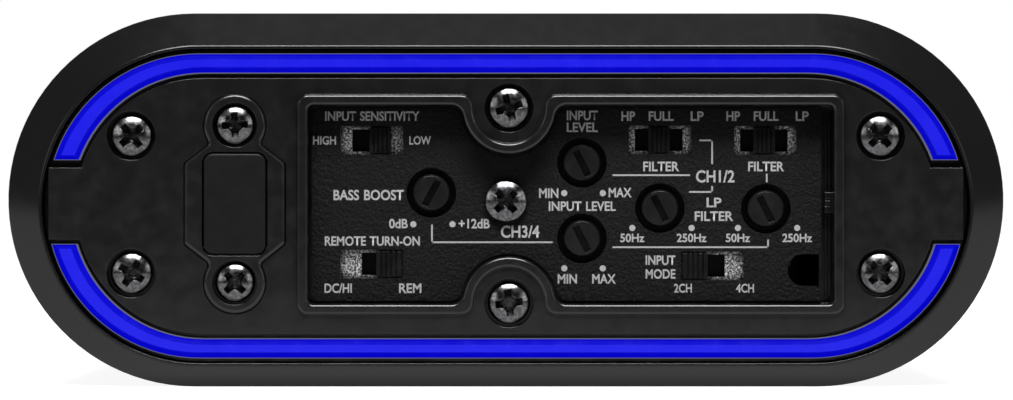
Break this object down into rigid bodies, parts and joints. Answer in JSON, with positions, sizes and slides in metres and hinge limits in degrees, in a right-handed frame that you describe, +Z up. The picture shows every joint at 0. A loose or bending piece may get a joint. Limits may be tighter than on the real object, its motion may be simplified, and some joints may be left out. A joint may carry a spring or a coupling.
{
  "type": "car amplifier",
  "caption": "Compact black car amplifier with stadium-shaped finned body, bevelled end caps, blue light strips around the face and a recessed panel of slotted pots and slide switches",
  "frame": {"origin": "on the surface the amplifier rests on, under the middle of its length and width", "axes": "+X to the right as seen from the control end, +Y along the length from the controls to the connections, +Z up"},
  "size_m": [0.16, 0.25, 0.06],
  "materials": {
    "heatsink": "black anodised extrusion",
    "rim_plastic": "smooth satin black moulding",
    "face_plastic": "fine satin black moulding",
    "panel_texture": "grained black moulding",
    "blue_light": "blue tinted acrylic light guide",
    "flex_circuit": "white flexible circuit with light sources",
    "black_screw": "black zinc plated steel",
    "base_steel": "black powder coat",
    "bare_steel": "zinc plated steel",
    "brass_parts": "plain brass",
    "plug_rubber": "moulded black rubber",
    "shaft_plastic": "black nylon",
    "knob_plastic": "ribbed black nylon",
    "tin": "tinned steel",
    "component_black": "black moulded component",
    "circuit_board": "green solder mask",
    "ferrite": "painted ferrite",
    "copper": "enamelled copper wire",
    "capacitor_sleeve": "shrunk vinyl sleeve",
    "terminal_plastic": "black nylon",
    "nickel": "nickel plate",
    "rca_insulator": "white insulator",
    "fuse_plastic": "tinted translucent body"
  },
  "bodies": {
    "root": {"heatsink": "heatsink", "front_end_cap": "rim_plastic", "rear_end_cap": "rim_plastic", "front_face_plate": "face_plastic", "rear_face_plate": "face_plastic", "port_cover": "face_plastic", "control_plate": "panel_texture", "connection_plate": "panel_texture", "front_light_guide_upper": "blue_light", "front_light_guide_lower": "blue_light", "rear_light_guide_upper": "blue_light", "rear_light_guide_lower": "blue_light", "front_led_strips": "flex_circuit", "rear_led_strips": "flex_circuit", "front_corner_screws": "black_screw", "rear_corner_screws": "black_screw", "front_notch_screws": "black_screw", "rear_notch_screws": "black_screw", "control_plate_screw": "black_screw", "connection_plate_screw": "black_screw", "port_cover_screws": "black_screw", "base_screws": "black_screw", "base_plate": "base_steel", "mounting_sleeves": "bare_steel", "board_screws": "bare_steel", "clamp_bars": "bare_steel", "clamp_screws": "bare_steel", "board_standoffs": "brass_parts", "switch_frames": "tin", "pot_and_switch_bodies": "component_black", "remote_socket": "component_black", "output_transistors": "component_black", "rca_block": "component_black", "control_board": "circuit_board", "main_board": "circuit_board", "toroid_core": "ferrite", "inductor_cores": "ferrite", "toroid_winding": "copper", "inductor_windings": "copper", "filter_capacitors": "capacitor_sleeve", "power_terminal_block": "terminal_plastic", "speaker_terminal_block": "terminal_plastic", "fuse_holder": "terminal_plastic", "rca_shells": "nickel", "power_terminal_screws": "nickel", "speaker_terminal_screws": "nickel", "rca_centres": "rca_insulator"},
    "bass_boost": {"bass_boost_shaft": "shaft_plastic"},
    "level_front": {"level_front_shaft": "shaft_plastic"},
    "level_rear": {"level_rear_shaft": "shaft_plastic"},
    "low_pass_front": {"low_pass_front_shaft": "shaft_plastic"},
    "low_pass_rear": {"low_pass_rear_shaft": "shaft_plastic"},
    "sensitivity": {"sensitivity_slider": "knob_plastic"},
    "turn_on": {"turn_on_slider": "knob_plastic"},
    "filter_front": {"filter_front_slider": "knob_plastic"},
    "filter_rear": {"filter_rear_slider": "knob_plastic"},
    "input_mode": {"input_mode_slider": "knob_plastic"},
    "port_plug": {"port_plug": "plug_rubber"},
    "fuse_1": {"fuse_1": "fuse_plastic"},
    "fuse_2": {"fuse_2": "fuse_plastic"}
  },
  "joints": [
    {"name": "bass_boost_turn", "type": "hinge", "parent": "root", "child": "bass_boost", "pos_m": [-0.012, -0.1192, 0.03115], "axis": [0, 1, 0], "range_deg": [0, 300]},
    {"name": "level_front_turn", "type": "hinge", "parent": "root", "child": "level_front", "pos_m": [0.01225, -0.1192, 0.036], "axis": [0, 1, 0], "range_deg": [-300, 0]},
    {"name": "level_rear_turn", "type": "hinge", "parent": "root", "child": "level_rear", "pos_m": [0.01225, -0.1192, 0.0238], "axis": [0, 1, 0], "range_deg": [-300, 0]},
    {"name": "low_pass_front_turn", "type": "hinge", "parent": "root", "child": "low_pass_front", "pos_m": [0.0248, -0.1192, 0.0287], "axis": [0, 1, 0], "range_deg": [-300, 0]},
    {"name": "low_pass_rear_turn", "type": "hinge", "parent": "root", "child": "low_pass_rear", "pos_m": [0.04185, -0.1192, 0.0286], "axis": [0, 1, 0], "range_deg": [-300, 0]},
    {"name": "sensitivity_slide", "type": "slide", "parent": "root", "child": "sensitivity", "axis": [1, 0, 0], "range_m": [-0.0028, 0]},
    {"name": "turn_on_slide", "type": "slide", "parent": "root", "child": "turn_on", "axis": [1, 0, 0], "range_m": [-0.0024, 0]},
    {"name": "filter_front_slide", "type": "slide", "parent": "root", "child": "filter_front", "axis": [1, 0, 0], "range_m": [-0.0021, 0.0021]},
    {"name": "filter_rear_slide", "type": "slide", "parent": "root", "child": "filter_rear", "axis": [1, 0, 0], "range_m": [-0.0021, 0.0021]},
    {"name": "input_mode_slide", "type": "slide", "parent": "root", "child": "input_mode", "axis": [1, 0, 0], "range_m": [0, 0.0028]},
    {"name": "port_plug_pull", "type": "slide", "parent": "root", "child": "port_plug", "axis": [0, -1, 0], "range_m": [0, 0.012]},
    {"name": "fuse_1_pull", "type": "slide", "parent": "root", "child": "fuse_1", "axis": [0, 1, 0], "range_m": [0, 0.012]},
    {"name": "fuse_2_pull", "type": "slide", "parent": "root", "child": "fuse_2", "axis": [0, 1, 0], "range_m": [0, 0.012]}
  ]
}
